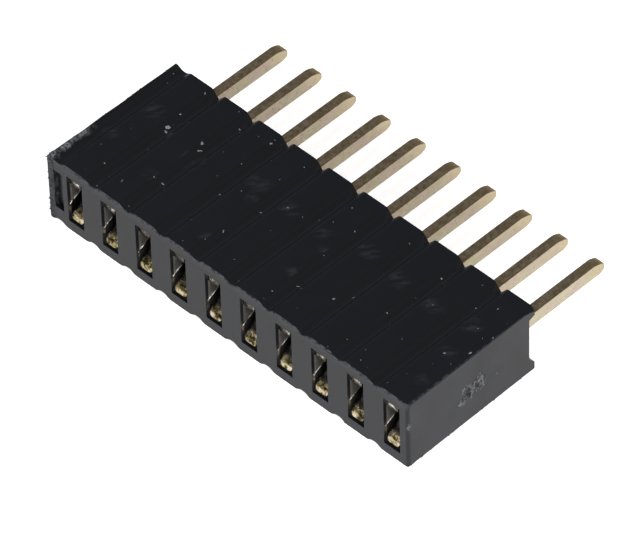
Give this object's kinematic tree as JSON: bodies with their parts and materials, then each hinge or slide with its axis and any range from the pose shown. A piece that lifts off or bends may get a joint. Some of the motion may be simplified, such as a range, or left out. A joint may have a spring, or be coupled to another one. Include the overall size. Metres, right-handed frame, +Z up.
{
  "type": "pin socket header",
  "caption": "Single-row female pin socket strip with rectangular sockets on its mating face and flat solder tails behind.",
  "frame": {"origin": "under the middle of the whole strip, tails included, on the surface that it lies on", "axes": "+X along the row, from the rough cut end to the moulded end with the gate mark; +Y from the mating face to the tails; +Z up through the thickness"},
  "size_m": [0.013, 0.0076, 0.0023],
  "materials": {
    "housing": "moulded black glass-filled plastic, satin",
    "contact": "gold-plated phosphor bronze, satin"
  },
  "bodies": {
    "root": {"housing": "housing", "contact_01": "contact", "contact_02": "contact", "contact_03": "contact", "contact_04": "contact", "contact_05": "contact", "contact_06": "contact", "contact_07": "contact", "contact_08": "contact", "contact_09": "contact", "contact_10": "contact"}
  },
  "joints": []
}
